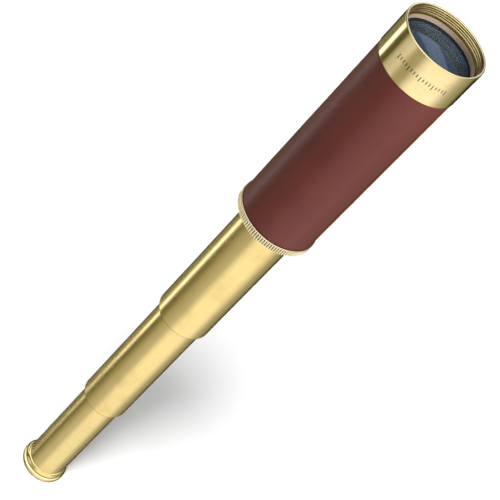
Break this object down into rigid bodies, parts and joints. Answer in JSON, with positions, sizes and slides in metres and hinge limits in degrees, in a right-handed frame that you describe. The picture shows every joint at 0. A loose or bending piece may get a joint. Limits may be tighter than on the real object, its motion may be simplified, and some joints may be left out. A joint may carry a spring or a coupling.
{
  "type": "hand telescope",
  "caption": "Hand telescope: leather-covered brass barrel with nested sliding brass draws, threaded objective ring, knurled ring and flared eyepiece cap.",
  "frame": {"origin": "centre of the eyepiece cap's rear rim, which the telescope stands on, with its draws pulled out", "axes": "+Z along the optical axis from the eye to the objective; +X and +Y square to it, +X through one slot of the retaining ring"},
  "size_m": [0.0368, 0.0368, 0.327],
  "materials": {
    "polished_brass": "turned and polished brass, clear lacquered",
    "draw_brass": "drawn brass tube with a fine satin brushing along its length",
    "plain_brass": "plain machined brass",
    "leather": "smooth oxblood leather, satin",
    "matt_ring": "matt champagne anodised aluminium with fine turning marks",
    "black_cell": "matt black anodised aluminium",
    "coated_glass": "clear optical glass with a blue coating",
    "plain_glass": "clear optical glass",
    "nylon": "black nylon"
  },
  "bodies": {
    "eyepiece_draw": {"draw_tube_3": "draw_brass", "stop_ring_3": "plain_brass", "erector_tube": "black_cell", "erector_front_lens": "plain_glass", "erector_front_lock": "black_cell", "erector_stop": "black_cell", "erector_rear_lens": "plain_glass", "erector_rear_lock": "black_cell", "eyepiece_cap": "polished_brass", "eyepiece_cell": "black_cell", "eye_lens": "coated_glass", "eyepiece_spacer": "black_cell", "field_lens": "plain_glass", "field_stop": "black_cell"},
    "guide_3": {"guide_ring_3": "nylon"},
    "middle_draw": {"draw_tube_2": "draw_brass", "stop_ring_2": "plain_brass", "draw_baffle_2": "black_cell", "draw_bush_2": "plain_brass"},
    "guide_2": {"guide_ring_2": "nylon"},
    "front_draw": {"draw_tube_1": "draw_brass", "stop_ring_1": "plain_brass", "draw_baffle_1": "black_cell", "draw_bush_1": "plain_brass"},
    "guide_1": {"guide_ring_1": "nylon"},
    "barrel": {"objective_ring": "polished_brass", "lens_cell": "black_cell", "crown_lens": "coated_glass", "flint_lens": "plain_glass", "cell_rear_ring": "black_cell", "retaining_ring": "matt_ring", "barrel_tube": "plain_brass", "leather_wrap": "leather", "knurled_ring": "polished_brass", "barrel_bush": "plain_brass"}
  },
  "joints": [
    {"name": "eyepiece_draw_turn", "type": "hinge", "parent": "eyepiece_draw", "child": "guide_3", "pos_m": [0, 0, 0], "axis": [0, 0, 1], "continuous": true},
    {"name": "eyepiece_draw_slide", "type": "slide", "parent": "guide_3", "child": "middle_draw", "axis": [0, 0, -1], "range_m": [0, 0.06]},
    {"name": "middle_draw_turn", "type": "hinge", "parent": "middle_draw", "child": "guide_2", "pos_m": [0, 0, 0], "axis": [0, 0, 1], "continuous": true},
    {"name": "middle_draw_slide", "type": "slide", "parent": "guide_2", "child": "front_draw", "axis": [0, 0, -1], "range_m": [0, 0.0725]},
    {"name": "front_draw_turn", "type": "hinge", "parent": "front_draw", "child": "guide_1", "pos_m": [0, 0, 0], "axis": [0, 0, 1], "continuous": true},
    {"name": "front_draw_slide", "type": "slide", "parent": "guide_1", "child": "barrel", "axis": [0, 0, -1], "range_m": [0, 0.0727]}
  ]
}
